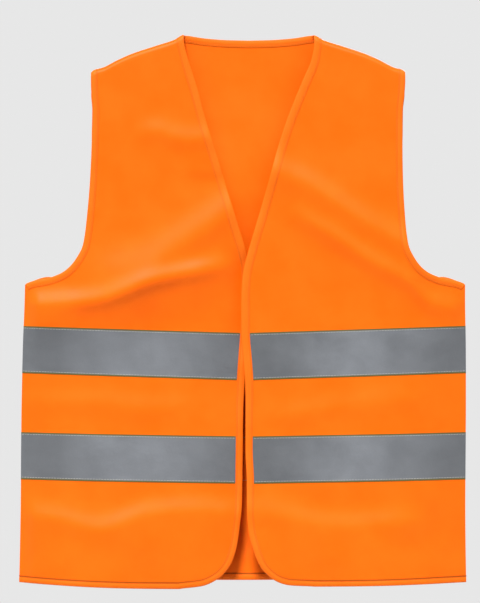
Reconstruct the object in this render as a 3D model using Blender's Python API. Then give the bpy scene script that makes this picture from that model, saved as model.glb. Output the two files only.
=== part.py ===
"""High visibility vest: sleeveless, V-necked, two front edges that meet at the middle,
bound edges all round and two bands of reflective tape.

Frame: the vest hangs upright and is seen from -Y. +X is the wearer's left, +Y the wearer's
back, +Z up. The origin is at the middle of the neck opening, level with the neck points.
Lengths below are in millimetres and become metres when a mesh is made.
"""

import math

import bmesh
import bpy
from mathutils import Vector

MM = 0.001

# Garment
HEM_Z = -577.0          # hem at the side seams
SIDE_HALF = 237.0       # half width at the hem
CHEST_HALF = 233.0      # half width just under the arms
UNDERARM_Z = -262.0     # where the armholes meet the side seams
NECK_LEAN = 6.5         # the garment hangs a little to +X, this far at the neck
LEAN_POWER = 1.6

# Depth of the hanging garment: half of the space between the front and the back
TOP_DEPTH = 6.0
HEM_DEPTH = 20.0
SEAM_DEPTH = 1.8        # cloth centre to the seam's plane, at side and shoulder seams
SIDE_TAPER = 110.0      # width over which the fronts and the back draw together
RIDGE_DROP = 9.0        # height of the rounded shoulder top
FRONT_STEP = 2.8        # the wearer's left front lies this far out, the right this far in
STEP_REACH = 60.0       # and that dies out at this distance from the middle
SHOULDER_Z = -20.0      # height at which the shoulder line's own centre line is read

# Cloth, tape and edge binding
CLOTH = 0.7
TAPE = 0.6
TAPE_WIDTH = 50.0
TAPE_GAP = 0.45         # cloth's face to the tape's back
BINDING = 0.6
BINDING_GAP = 0.65
FRONT_BINDING = 8.5     # visible widths of the folded binding
HEM_BINDING = 7.5
NECK_BINDING = 7.5
ARMHOLE_BINDING = 7.0
EDGE_INSET = 1.5        # cut edge of the cloth to the outside of its binding
SPLIT = 0.25            # half of the gap between a flap and the side of its front
TAPE_SPLIT = 0.35       # the same between the two parts of a tape
BINDING_SPLIT = 0.5     # and between the two parts of a hem binding
NECK_CUT_ANGLE = 27.0   # slant of the cut between a flap's binding and the neck binding
TAPE_INSET = 0.6        # end of a tape to the side seam or to the front binding
HEM_END = 0.3           # end of a hem binding to the side seam

# Where each front folds open
FOLD_TOP_Z = -32.0
FOLD_HEM_X = 150.0
FOLD_AXIS_OUT = 2.6     # fold axis in front of the cloth's centre

# Seams, closure and label
SEAM_WIDTH = 8.0
SEAM_START = 0.4
SIDE_SEAM_TOP = 12.0    # ends of a side seam's allowance, from the underarm and the hem binding
SIDE_SEAM_BOTTOM = 3.0
SHOULDER_SEAM_START = 3.0
SHOULDER_SEAM_ENDS = 12.0
PATCH_WIDTH = 7.0
PATCH_LENGTH = 45.0
PATCH = 0.7
PATCH_TOP_Z = -258.0
PATCH_OFF = 0.55        # centre of a patch to the middle plane between the two edges
LABEL_WIDTH = 30.0
LABEL_LENGTH = 50.0
LABEL = 0.5
LABEL_TOP_Z = -390.0
LABEL_START = 12.5

# Outlines as (distance from the garment's centre line, z), which a smooth curve joins
RIDGE = ((62, 11.0), (66, 6.6), (69, 2.4), (79, -3.0), (98, -9.2), (123, -17.5), (140, -25.0),
         (153, -31.8), (160, -34.0), (168, -38.5))
OUTER = ((165.5, -38.0), (166.3, -47), (165.6, -60), (164.0, -78), (164.4, -118), (165.4, -150),
         (168.3, -192), (171.7, -219), (180, -236), (191, -247.5), (207.5, -254.8), (225, -258.2),
         (CHEST_HALF, UNDERARM_Z), (233.2, -277), (234.6, -330), (235.4, -410), (235.4, -480),
         (SIDE_HALF, -600))
BACK_NECK = ((66.5, 1.2), (64.5, 1.1), (58, 0.5), (50, -0.4), (40, -1.3), (22, -2.6), (0, -3.1))
NECK_POINT = 69.0       # where the neckline crosses the shoulder line
NECK_FAN = ((0.5, 40), (1.1, 65))       # its turn there: (way towards the middle, angle)
NECK_FAN_Z = 1.3
NECK_CORNER = ((70.5, -0.1), (69, -0.4))    # rounded corner of the back's cut edge there

# Front edges as (x, z), from the neck point to the lowest point of the rounded corner
RIGHT_EDGE = ((-64.5, 2.6), (-59.1, -19), (-48.0, -54), (-39.2, -87), (-29.4, -118.6),
              (-15.6, -164), (-2.9, -205.5), (3.6, -227), (6.6, -243), (7.4, -262), (7.0, -290),
              (6.0, -313), (4.0, -342), (2.2, -365), (0.6, -395), (0.1, -436), (-0.8, -494),
              (-2.9, -515), (-6.1, -537), (-11.4, -554), (-20.4, -567.3), (-30.5, -574.7),
              (-42.1, -579.4), (-66.0, -582.3))
LEFT_EDGE = ((77.5, 2.6), (72.6, -24), (64.0, -44.5), (56.0, -63.6), (46.9, -87), (36.6, -118.6),
             (27.6, -151.5), (19.8, -179), (12.2, -204.4), (4.6, -231), (1.3, -244.5),
             (-0.5, -256), (-1.6, -277), (-1.4, -312.5), (0.8, -342), (2.5, -364), (2.9, -386),
             (2.9, -436), (4.2, -468), (4.4, -502), (6.0, -521), (10.8, -540), (18.3, -558.3),
             (26.0, -567.5), (37.3, -575.2), (50.0, -578.6), (75.0, -579.8))

CORNER_POINTS = 6       # how many of a front edge's points make its rounded corner

# Where the surfaces are divided. Rows of the panels are given as distances below the shoulder
# line, those near the hem as distances above it, and the others as heights
ARCH_ANGLES = (25, 50, 70, 90)      # over the rounded shoulder top
TOP_ROW = 28
ARMHOLE_ROWS = (55, 90, 130, 168, 197, 212, 221, 227, 231)
TORSO_ROWS = (238, 258, 290, 330, 370, 410, 450, 485)
CORNER_ROWS = (76, 58, 42, 28, 17, 9, 4, 0)
FLAP_HEIGHTS = (-46, -64, -90, -120, -155, -190, -215, -235, -250, -270, -300, -335, -370, -410,
                -450, -485, -510, -532, -548, -560, -568, -573.5)
FLAP_LAST_ROW = 2.2                 # its last row but one, above the hem
ARMHOLE_HEIGHTS = (-258.6, -257.4, -255.6, -253.0, -249.5, -245.5, -240.5, -234.5, -227.0,
                   -217.0, -204.0, -185.0, -160.0, -130.0, -100.0, -75.0, -60.0)
EDGE_FINE_Z = -485.0                # a front edge's binding turns more below this height
EDGE_CORNER_Z = -553.0              # and most of all below this one
EDGE_CORNER_HEIGHTS = (-560.0, -566.0, -571.0, -575.0)
ARMHOLE_FINE_Z = -215.0             # cut edges are found in small steps below these heights
EDGE_CUT_FINE_Z = -540.0
BACK_COLUMNS = (0, 20, 38, 50, 58, 64.5, 66.5, 69, 70.5)
BACK_SHOULDER_COLUMNS = (84, 102, 122, 144)
SIDE_COLUMNS = 8
FLAP_COLUMNS = 6
TAPE_ROWS = 2
TAPE_SIDE_COLUMNS = 9
TAPE_FLAP_COLUMNS = 6
BACK_TAPE_COLUMNS = 28

# Each front: side of the middle, front edge, how far the hem drops towards the middle
FRONTS = {
    "right": {"sign": -1, "edge": RIGHT_EDGE, "drop": 5.6},
    "left": {"sign": 1, "edge": LEFT_EDGE, "drop": 3.0},
}

# Upper edge of each tape: z at the side seam and at the middle
TAPES = {"upper": (-305.5, -313.0), "lower": (-418.0, -422.0)}


# ---------------------------------------------------------------- curves and the cloth surface

def along(points, key, value):
    """Smooth curve through the points, read at a value of their first (0) or second (1) number."""
    other = 1 - key
    pts = sorted(points, key=lambda p: p[key])
    value = min(max(value, pts[0][key]), pts[-1][key])
    i = max(k for k in range(len(pts) - 1) if pts[k][key] <= value + 1e-9)
    a, b = pts[i], pts[i + 1]
    step = b[key] - a[key]

    def slope(k):
        if k == 0 or k == len(pts) - 1:
            return (b[other] - a[other]) / step
        p, c, n = pts[k - 1], pts[k], pts[k + 1]
        before = (c[other] - p[other]) / (c[key] - p[key])
        after = (n[other] - c[other]) / (n[key] - c[key])
        if before * after <= 0:
            return 0.0
        return 2 * before * after / (before + after)

    t = (value - a[key]) / step
    h1 = 2 * t ** 3 - 3 * t ** 2 + 1
    h2 = t ** 3 - 2 * t ** 2 + t
    h3 = -2 * t ** 3 + 3 * t ** 2
    h4 = t ** 3 - t ** 2
    return h1 * a[other] + h2 * step * slope(i) + h3 * b[other] + h4 * step * slope(i + 1)


def lean(z):
    """Sideways shift of the garment's centre line at height z."""
    return NECK_LEAN * max(0.0, 1 - min(z, 0.0) / HEM_Z) ** LEAN_POWER


def out(x, z):
    """Distance from the garment's centre line."""
    return abs(x - lean(z))


def ridge(x):
    """Height of the shoulder line above x, carried on as a rise over the neck opening."""
    u = out(x, SHOULDER_Z)
    first = RIDGE[0]
    if u < first[0]:
        return first[1] + first[0] - u
    return along(RIDGE, 0, u)


def ridge_normal(x):
    """Normal of the rounded shoulder top, square to the shoulder line at x."""
    side = 1 if x > lean(SHOULDER_Z) else -1
    reach = 3.0 * side
    return Vector(((ridge(x) - ridge(x + reach)) / reach, 0, 1)).normalized()


def outer(z):
    """Half width of the garment at height z: armhole above the underarm, side seam below."""
    return along(OUTER, 1, z)


def side_half(z):
    """Half width at the side seam, kept at its chest value above the underarm."""
    return outer(min(z, UNDERARM_Z))


def front_hem(sign, x, drop):
    """Height of a front's hem."""
    share = min(1.0, max(0.0, (SIDE_HALF - abs(x)) / 170.0))
    return HEM_Z - drop * math.sin(share * math.pi / 2)


def back_hem(x):
    """Height of the back's hem, a little shorter at the middle."""
    return HEM_Z + 2.5 * math.cos(min(1.0, abs(x) / SIDE_HALF) * math.pi / 2)


def depth(x, z):
    """Distance of the cloth's centre from the plane of the side seams."""
    full = TOP_DEPTH + (HEM_DEPTH - TOP_DEPTH) * min(z, 0.0) / HEM_Z
    share = min(1.0, max(0.0, (side_half(z) - out(x, z)) / SIDE_TAPER))
    below = min(1.0, max(0.0, (ridge(x) - z) / RIDGE_DROP))
    rounded = math.sqrt(1 - (1 - below) ** 2)
    return SEAM_DEPTH + (full - SEAM_DEPTH) * math.sin(share * math.pi / 2) * rounded


def step_out(front, x):
    """How far a front stands out near the middle, where the left one laps over the right."""
    if front is None:
        return 0.0
    near = max(0.0, 1 - (x / STEP_REACH) ** 2)
    return FRONT_STEP * FRONTS[front]["sign"] * near ** 2


def place(front, x, z):
    """Point on the centre of the cloth, of a front or, with front None, of the back."""
    if front is None:
        return Vector((x, depth(x, z), z))
    return Vector((x, -depth(x, z) - step_out(front, x), z))


def outward(front, x, z):
    """Outward normal of the cloth at that point."""
    d = 0.05
    dx = place(front, x + d, z) - place(front, x - d, z)
    dz = place(front, x, z) - place(front, x, z - 2 * d)
    n = dx.cross(dz).normalized()
    return n if (n.y > 0) == (front is None) else -n


def fold_spread(front):
    """How far a front's fold line moves away from the middle for each unit down."""
    top = along(FRONTS[front]["edge"], 1, FOLD_TOP_Z)
    return (FOLD_HEM_X - abs(top)) / (FOLD_TOP_Z - HEM_Z)


def fold_x(front, z):
    """x of a front's fold line at height z."""
    return FRONTS[front]["sign"] * (FOLD_HEM_X - fold_spread(front) * (z - HEM_Z))


# ---------------------------------------------------------------- mesh makers

def material(name, colour, roughness):
    mat = bpy.data.materials.new(name)
    mat.use_nodes = True
    shader = mat.node_tree.nodes["Principled BSDF"]
    shader.inputs["Base Color"].default_value = (*colour, 1)
    shader.inputs["Roughness"].default_value = roughness
    shader.inputs["Metallic"].default_value = 0
    return mat


def make_object(name, points, faces, mat, parent):
    """Mesh object from points in millimetres, its origin at its parent's."""
    base = parent.location if parent else Vector((0, 0, 0))
    mesh = bpy.data.meshes.new(name)
    mesh.from_pydata([Vector(p) * MM - base for p in points], [], faces)
    bm = bmesh.new()
    bm.from_mesh(mesh)
    bmesh.ops.recalc_face_normals(bm, faces=bm.faces)
    bmesh.ops.triangulate(bm, faces=bm.faces)
    bm.to_mesh(mesh)
    bm.free()
    mesh.materials.append(mat)
    obj = bpy.data.objects.new(name, mesh)
    bpy.context.collection.objects.link(obj)
    if parent:
        obj.parent = parent
    return obj


def thicken(name, grid, normals, thickness, mat, parent):
    """Closed sheet of even thickness round a grid of centre points."""
    rows, cols = len(grid), len(grid[0])
    points = []
    for side in (0.5, -0.5):
        for r in range(rows):
            points += [grid[r][c] + normals[r][c] * side * thickness for c in range(cols)]
    size = rows * cols
    faces = []
    for r in range(rows - 1):
        for c in range(cols - 1):
            a = r * cols + c
            faces.append((a, a + 1, a + cols + 1, a + cols))
            faces.append((a + size, a + size + cols, a + size + cols + 1, a + size + 1))
    for r in range(rows - 1):
        for c in (0, cols - 1):
            a = r * cols + c
            faces.append((a, a + cols, a + cols + size, a + size))
    for c in range(cols - 1):
        for r in (0, rows - 1):
            a = r * cols + c
            faces.append((a, a + 1, a + 1 + size, a + size))
    return make_object(name, points, faces, mat, parent)


def channel_profile(width):
    """Outline of a folded binding: (distance from the edge, distance from the cloth's centre)."""
    half = CLOTH / 2 + BINDING_GAP + BINDING
    inner = half - BINDING
    mid = width / 2
    leg = [(0, half), (mid, half), (width, half), (width, inner), (mid, inner), (BINDING, inner)]
    return [(w, -b) for w, b in leg] + leg[::-1]


def channel(name, sections, mat, parent):
    """Closed solid through sections that each have the points of a channel profile."""
    k = len(sections[0])
    points = [p for section in sections for p in section]
    faces = []
    for i in range(len(sections) - 1):
        for j in range(k):
            a = i * k + j
            b = i * k + (j + 1) % k
            faces.append((a, b, b + k, a + k))
    caps = ((0, 1, 4, 5), (1, 2, 3, 4), (0, 5, 6, 11), (11, 6, 7, 10), (10, 7, 8, 9))
    for first in (0, (len(sections) - 1) * k):
        faces += [tuple(first + j for j in cap) for cap in caps]
    return make_object(name, points, faces, mat, parent)


# ---------------------------------------------------------------- cloth panels

def row_height(x, share, bottom):
    """Height of a grid row: 0 at the shoulder line, 1 at the hem."""
    top = ridge(x)
    return top + (bottom(x) - top) * share


def row_shares(top_row):
    """Rows from the shoulder line, 0, to the hem, 1, with the first one under the rounded
    shoulder top given as such a share."""
    length = -HEM_Z
    on_top = [RIDGE_DROP * (1 - math.cos(math.radians(a))) / length for a in (0, *ARCH_ANGLES)]
    body = [h / length for h in ARMHOLE_ROWS + TORSO_ROWS]
    return on_top + [top_row] + body + [1 - h / length for h in CORNER_ROWS]


def edge_at(limit, share, bottom):
    """Where a grid row meets a limit given as x at height z."""
    x = limit(-250.0)
    for _ in range(40):
        z = row_height(x, share, bottom)
        x = 0.5 * x + 0.5 * limit(z)
    return x


def inset(points, towards):
    """The cut edge of the cloth: the outline's points moved in, square to the outline."""
    moved = []
    for i in range(1, len(points) - 1):
        along_edge = Vector(points[i + 1]) - Vector(points[i - 1])
        square = Vector((-along_edge.y, along_edge.x)).normalized()
        if square.x * towards < 0:
            square = -square
        p = Vector(points[i]) + square * EDGE_INSET
        if not moved or p.y < moved[-1][1] - 1e-4:
            moved.append((p.x, p.y))

    def limit(z):
        if z >= moved[0][1]:
            return moved[0][0]
        if z <= moved[-1][1]:
            return moved[-1][0]
        i = next(k for k in range(1, len(moved)) if moved[k][1] <= z)
        (x0, z0), (x1, z1) = moved[i - 1], moved[i]
        return x0 + (x1 - x0) * (z0 - z) / (z0 - z1)
    return limit


def outline(curve, start, end, fine_below):
    """Points down a curve given as x at height z, close together below one height."""
    heights = even_rows(start, fine_below, 4.0)[:-1] + even_rows(fine_below, end, 0.3)
    return [(curve(z), z) for z in heights]


def panel(name, front, low, high, bottom, shares, columns, mat, parent):
    """Cloth between two limits in x, from the shoulder line down to the hem."""
    grid, normals = [], []
    for share in shares:
        x0 = edge_at(low, share, bottom)
        x1 = edge_at(high, share, bottom)
        row, row_normals = [], []
        for c in range(columns + 1):
            x = x0 + (x1 - x0) * c / columns
            z = row_height(x, share, bottom)
            row.append(place(front, x, z))
            row_normals.append(ridge_normal(x) if share == 0 else outward(front, x, z))
        grid.append(row)
        normals.append(row_normals)
    return thicken(name, grid, normals, CLOTH, mat, parent)


def side_limit(sign):
    """x of the garment's outline on one side: inside the armhole binding, at the side seam."""
    points = outline(lambda z: lean(z) + sign * outer(z), OUTER[0][1] + 0.5, UNDERARM_Z,
                     ARMHOLE_FINE_Z)
    edge = inset(points, -sign)

    def limit(z):
        seam = lean(z) + sign * side_half(z)
        return edge(z) if z > UNDERARM_Z + EDGE_INSET / 2 else seam
    return limit


def front_edge_limit(front):
    """x of a front's cut edge, inside its binding, from the neck point to the hem."""
    f = FRONTS[front]
    points = outline(lambda z: along(f["edge"], 1, z), f["edge"][0][1], f["edge"][-1][1],
                     EDGE_CUT_FINE_Z)
    return inset(points, f["sign"])


def front_panels(front, mat, root, flap):
    """A front in two parts: the side that stays, and the flap that folds open."""
    f = FRONTS[front]
    sign = f["sign"]

    def hem(x):
        return front_hem(sign, x, f["drop"]) + EDGE_INSET

    edge = front_edge_limit(front)

    def neck_or_fold(z):
        return edge(z) if z > FOLD_TOP_Z else fold_x(front, z) + sign * SPLIT

    corner = edge(FOLD_TOP_Z)
    shares = row_shares((ridge(corner) - FOLD_TOP_Z) / (ridge(corner) - hem(corner)))
    limits = sorted((neck_or_fold, side_limit(sign)), key=lambda g: g(-400.0))
    panel(f"{front}_front_side", front, *limits, hem, shares, SIDE_COLUMNS, mat, root)

    grid, normals = [], []
    bottom = hem(f["edge"][-1][0])
    for z in (*FLAP_HEIGHTS, bottom + FLAP_LAST_ROW, bottom):
        row, row_normals = [], []
        for c in range(FLAP_COLUMNS + 1):
            h = z
            for _ in range(4):
                fold = fold_x(front, h) - sign * SPLIT
                x = fold + (edge(z) - fold) * c / FLAP_COLUMNS
                h = max(z, hem(x))
            row.append(place(front, x, h))
            row_normals.append(outward(front, x, h))
        grid.append(row)
        normals.append(row_normals)
    thicken(f"{front}_front_flap", grid, normals, CLOTH, mat, flap)


def back_panel(mat, root):
    """The back in one piece, its neck cut below the shoulder line."""
    start = NECK_POINT + 2 * EDGE_INSET
    corner = [(start, ridge(lean(SHOULDER_Z) + start)), *NECK_CORNER]
    neck = corner + [(u, z - EDGE_INSET) for u, z in BACK_NECK]

    def top(x):
        u = out(x, SHOULDER_Z)
        return ridge(x) if u >= start - 0.01 else along(neck, 0, u)

    def hem(x):
        return back_hem(x) + EDGE_INSET

    low, high = side_limit(-1), side_limit(1)
    half = (edge_at(high, 0, hem) - edge_at(low, 0, hem)) / 2
    inner = [u / half for u in (*BACK_COLUMNS, start, *BACK_SHOULDER_COLUMNS, half)]
    fractions = [-u for u in reversed(inner[1:])] + inner
    grid, normals = [], []
    for share in row_shares(TOP_ROW / -HEM_Z):
        x0 = edge_at(low, share, hem)
        x1 = edge_at(high, share, hem)
        row, row_normals = [], []
        for u in fractions:
            x = (x0 + x1) / 2 + (x1 - x0) / 2 * u
            z = top(x) + (hem(x) - top(x)) * share
            row.append(place(None, x, z))
            at_ridge = share == 0 and out(x, SHOULDER_Z) >= start - 0.01
            row_normals.append(ridge_normal(x) if at_ridge else outward(None, x, z))
        grid.append(row)
        normals.append(row_normals)
    thicken("back_panel", grid, normals, CLOTH, mat, root)


# ---------------------------------------------------------------- bindings

def arch(x):
    """Points (x, z) down the rounded shoulder top below the ridge at x."""
    return [(x, ridge(x) - RIDGE_DROP * (1 - math.cos(math.radians(a)))) for a in ARCH_ANGLES]


def bind_edge(name, stretches, width, mat, parent, start_cut=0.0, end_cut=0.0):
    """Folded binding along an edge, lying on both faces of the cloth.

    Each stretch is (front name, or None for the back; list of x, z), and the cloth lies to the
    left of travel as seen from outside. Between two stretches the binding crosses the shoulder
    line. A cut slants an end: it moves a point along the edge by that share of its distance
    from the edge.
    """
    profile = channel_profile(width)
    sections = []
    last_stretch = len(stretches) - 1
    for s, (where, points) in enumerate(stretches):
        turn = 1 if where is None else -1
        for i, (x, z, *given) in enumerate(points):
            ahead = Vector(points[min(i + 1, len(points) - 1)][:2])
            travel = (ahead - Vector(points[max(i - 1, 0)][:2])).normalized()
            into = Vector(given) if given else Vector((travel.y, -travel.x)) * turn
            on_shoulder = ridge(x) - z < RIDGE_DROP + 0.1 and out(x, 0) > BACK_NECK[0][0] + 0.1
            if on_shoulder and not given:
                away = 1 if out(x, 0) < CHEST_HALF / 2 else -1
                into = Vector((math.copysign(away, away * (x - lean(0))), 0))
            cut = 0.0
            if s == 0 and i == 0:
                cut = start_cut
            elif s == last_stretch and i == len(points) - 1:
                cut = end_cut
            section = []
            for w, b in profile:
                q = Vector((x, z)) + into * w + travel * cut * w
                if on_shoulder and not given:
                    q.y = ridge(q.x) - (ridge(x) - z)
                section.append(place(where, *q) + outward(where, *q) * b)
            sections.append(section)
        if s < last_stretch:
            tip = (points[-1][0] + stretches[s + 1][1][0][0]) / 2
            side = into.x
            for y in (SEAM_DEPTH, -SEAM_DEPTH) if where is None else (-SEAM_DEPTH, SEAM_DEPTH):
                sections.append([Vector((tip + side * w, y, ridge(tip + side * w)))
                                 + ridge_normal(tip + side * w) * b for w, b in profile])
    channel(name, sections, mat, parent)


def even_rows(start, end, step):
    """Heights from start to end, about a step apart."""
    n = max(1, round(abs(end - start) / step))
    return [start + (end - start) * i / n for i in range(n + 1)]


def neck_binding(mat, root):
    """One strip: up the wearer's right front, round the back of the neck, down the left."""
    mid = lean(0)
    u_back = [u for u, z in BACK_NECK]
    across = [-u for u in u_back[:-1]] + u_back[::-1]
    neck = [(mid + u, along(BACK_NECK, 0, abs(u))) for u in across]
    drop = RIDGE_DROP * (1 - math.cos(math.radians(ARCH_ANGLES[0])))
    corners = []
    for sign in (-1, 1):
        x = mid + sign * NECK_POINT
        fan = [(x - sign * t, NECK_FAN_Z, sign * math.cos(math.radians(a)), -math.sin(math.radians(a)))
               for t, a in NECK_FAN]
        corners.append([(x, ridge(x) - drop)] + fan)
    fronts = {}
    for front, f in FRONTS.items():
        heights = even_rows(FOLD_TOP_Z, -10.0, 8.0)
        edge = [(along(f["edge"], 1, z), z) for z in heights]
        fronts[front] = edge + arch(mid + f["sign"] * NECK_POINT)[2::-1]
    back = corners[0] + neck + corners[1][::-1]
    stretches = [("right", fronts["right"]), (None, back), ("left", fronts["left"][::-1])]
    bind_edge("neck_binding", stretches, NECK_BINDING, mat, root)


def flap_binding(front, mat, flap):
    """Binding of a flap: V-edge, front edge, rounded corner and hem up to the fold."""
    f = FRONTS[front]
    sign = f["sign"]
    heights = (even_rows(FOLD_TOP_Z - 1.0, EDGE_FINE_Z, 17.5)[:-1]
               + even_rows(EDGE_FINE_Z, EDGE_CORNER_Z, 11.0) + list(EDGE_CORNER_HEIGHTS))
    low = f["edge"][-1]
    edge = [(along(f["edge"], 1, h), h) for h in heights if h > low[1] + 3.5]
    fold = fold_x(front, HEM_Z - f["drop"]) - sign * BINDING_SPLIT
    corner = [(x, along(f["edge"][-CORNER_POINTS:], 0, x))
              for x in (edge[-1][0] + (low[0] - edge[-1][0]) * k / 4 for k in (1, 2, 3))]
    steps = 4
    hem = [(x, front_hem(sign, x, f["drop"]))
           for x in [low[0] + (fold - low[0]) * i / steps for i in range(steps + 1)]]
    points = edge + corner + hem
    if sign < 0:
        points.reverse()
    tilt = fold_spread(front)
    neck_cut = 1.0 / math.tan(math.radians(NECK_CUT_ANGLE))
    cuts = (tilt, -neck_cut) if sign < 0 else (neck_cut, -tilt)
    bind_edge(f"{front}_front_edge_binding", [(front, points)], FRONT_BINDING, mat, flap, *cuts)


def side_hem_binding(front, mat, root):
    """Hem binding of the part of a front that stays."""
    f = FRONTS[front]
    sign = f["sign"]
    fold = fold_x(front, HEM_Z - f["drop"]) + sign * BINDING_SPLIT
    end = sign * (SIDE_HALF - HEM_END)
    steps = 6
    xs = [fold + (end - fold) * i / steps for i in range(steps + 1)]
    tilt = fold_spread(front)
    cuts = (-tilt, 0.0) if sign > 0 else (0.0, tilt)
    if sign < 0:
        xs.reverse()
    points = [(x, front_hem(sign, x, f["drop"])) for x in xs]
    bind_edge(f"{front}_front_hem_binding", [(front, points)], HEM_BINDING, mat, root, *cuts)


def back_hem_binding(mat, root):
    end = SIDE_HALF - HEM_END
    steps = 18
    xs = [end - 2 * end * i / steps for i in range(steps + 1)]
    points = [(x, back_hem(x)) for x in xs]
    bind_edge("back_hem_binding", [(None, points)], HEM_BINDING, mat, root)


def armhole_binding(front, mat, root):
    """One strip round an armhole, from the underarm up the front, over, and down the back."""
    sign = FRONTS[front]["sign"]
    edge = [(lean(z) + sign * outer(z), z) for z in ARMHOLE_HEIGHTS]
    edge += arch(lean(OUTER[0][1]) + sign * OUTER[0][0])[::-1]
    first, second = (None, front) if sign < 0 else (front, None)
    stretches = [(first, edge), (second, edge[::-1])]
    bind_edge(f"{front}_armhole_binding", stretches, ARMHOLE_BINDING, mat, root)


# ---------------------------------------------------------------- tapes, seams, patches, label

def tape_top(band, x):
    """Height of a tape's upper edge."""
    side, middle = TAPES[band]
    return side + (middle - side) * (1 - min(1.0, abs(x) / SIDE_HALF))


def tape(name, front, band, x_low, x_high, columns, mat, parent):
    """Tape between two limits, each given as x at height z."""
    lift = CLOTH / 2 + TAPE_GAP + TAPE / 2
    grid, normals = [], []
    for r in range(TAPE_ROWS + 1):
        down = TAPE_WIDTH * r / TAPE_ROWS
        row, row_normals = [], []
        for c in range(columns + 1):
            x = 0.0
            z = tape_top(band, x) - down
            for _ in range(6):
                a, b = x_low(z), x_high(z)
                x = a + (b - a) * c / columns
                z = tape_top(band, x) - down
            n = outward(front, x, z)
            row.append(place(front, x, z) + n * lift)
            row_normals.append(n)
        grid.append(row)
        normals.append(row_normals)
    thicken(name, grid, normals, TAPE, mat, parent)


def front_tapes(front, band, mat, root, flap):
    f = FRONTS[front]
    sign = f["sign"]

    def seam(z):
        return lean(z) + sign * (side_half(z) - TAPE_INSET)

    def fold_out(z):
        return fold_x(front, z) + sign * TAPE_SPLIT

    def fold_in(z):
        return fold_x(front, z) - sign * TAPE_SPLIT

    def edge(z):
        return along(f["edge"], 1, z) + sign * (FRONT_BINDING + TAPE_INSET)

    limits = (seam, fold_out) if sign < 0 else (fold_out, seam)
    tape(f"{front}_{band}_tape_side", front, band, *limits, TAPE_SIDE_COLUMNS, mat, root)
    limits = (fold_in, edge) if sign < 0 else (edge, fold_in)
    tape(f"{front}_{band}_tape_flap", front, band, *limits, TAPE_FLAP_COLUMNS, mat, flap)


def back_tape(band, mat, root):
    def low(z):
        return lean(z) - side_half(z) + TAPE_INSET

    def high(z):
        return lean(z) + side_half(z) - TAPE_INSET

    tape(f"back_{band}_tape", None, band, low, high, BACK_TAPE_COLUMNS, mat, root)


def strip(name, grid, thickness, mat, parent):
    """Flat strip facing the front."""
    normals = [[Vector((0, -1, 0)) for _ in row] for row in grid]
    thicken(name, grid, normals, thickness, mat, parent)


def side_seam(front, mat, root):
    """Overlocked seam allowance inside a side seam."""
    sign = FRONTS[front]["sign"]
    grid = []
    for z in even_rows(UNDERARM_Z - SIDE_SEAM_TOP, HEM_Z + HEM_BINDING + SIDE_SEAM_BOTTOM, 60.0):
        edge = lean(z) + sign * side_half(z)
        starts = (SEAM_START, SEAM_START + SEAM_WIDTH)
        grid.append([Vector((edge - sign * s, 0, z)) for s in starts])
    strip(f"{front}_side_seam", grid, CLOTH, mat, root)


def shoulder_seam(front, mat, root):
    """Overlocked seam allowance inside a shoulder seam."""
    sign = FRONTS[front]["sign"]
    low = NECK_POINT + SHOULDER_SEAM_ENDS
    high = OUTER[0][0] - SHOULDER_SEAM_ENDS
    grid = []
    steps = 8
    for i in range(steps + 1):
        x = lean(SHOULDER_Z) + sign * (low + (high - low) * i / steps)
        top = ridge(x) - SHOULDER_SEAM_START
        grid.append([Vector((x, 0, top - w)) for w in (0, SEAM_WIDTH)])
    strip(f"{front}_shoulder_seam", grid, CLOTH, mat, root)


def closure_patch(name, front, mat, flap):
    """Narrow touch-fastener patch between the lapped front edges."""
    f = FRONTS[front]
    other = FRONTS["left" if front == "right" else "right"]
    lift = -f["sign"] * PATCH_OFF
    grid = []
    for z in even_rows(PATCH_TOP_Z, PATCH_TOP_Z - PATCH_LENGTH, 15.0):
        middle = (along(f["edge"], 1, z) + along(other["edge"], 1, z)) / 2
        y = -depth(middle, z) + lift
        grid.append([Vector((middle + w, y, z)) for w in (-PATCH_WIDTH / 2, PATCH_WIDTH / 2)])
    strip(name, grid, PATCH, mat, flap)


def care_label(mat, root):
    """Blank label, sewn into the wearer's left side seam."""
    grid = []
    for z in even_rows(LABEL_TOP_Z, LABEL_TOP_Z - LABEL_LENGTH, 25.0):
        edge = lean(z) + side_half(z) - LABEL_START
        grid.append([Vector((edge - w, 0, z)) for w in (0, LABEL_WIDTH / 2, LABEL_WIDTH)])
    strip("care_label", grid, LABEL, mat, root)


# ---------------------------------------------------------------- assembly

def fold_axis(front):
    """Top and bottom of a front's fold axis, in millimetres."""
    ends = []
    for z in (FOLD_TOP_Z, HEM_Z):
        p = place(front, fold_x(front, z), z)
        ends.append(p + Vector((0, -FOLD_AXIS_OUT, 0)))
    return ends


def fold_empty(front):
    """Empty on the fold axis, which the flap's pieces hang on."""
    empty = bpy.data.objects.new(f"{front}_fold", None)
    bpy.context.collection.objects.link(empty)
    empty.location = fold_axis(front)[0] * MM
    return empty


def main():
    for obj in list(bpy.data.objects):
        bpy.data.objects.remove(obj)
    cloth = material("orange_knit", (1.0, 0.19, 0.005), 0.85)
    bound = material("orange_binding", (0.93, 0.16, 0.004), 0.8)
    grey = material("grey_tape", (0.19, 0.2, 0.21), 0.45)
    patch = material("closure_orange", (0.8, 0.14, 0.01), 0.95)
    white = material("label_white", (0.85, 0.85, 0.83), 0.7)

    back_panel(cloth, None)
    neck_binding(bound, None)
    back_hem_binding(bound, None)
    for band in TAPES:
        back_tape(band, grey, None)
    for front in FRONTS:
        flap = fold_empty(front)
        front_panels(front, cloth, None, flap)
        flap_binding(front, bound, flap)
        side_hem_binding(front, bound, None)
        armhole_binding(front, bound, None)
        side_seam(front, cloth, None)
        shoulder_seam(front, cloth, None)
        for band in TAPES:
            front_tapes(front, band, grey, None, flap)
        name = "hook_patch" if front == "left" else "loop_patch"
        closure_patch(name, front, patch, flap)
    care_label(white, None)


main()
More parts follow.
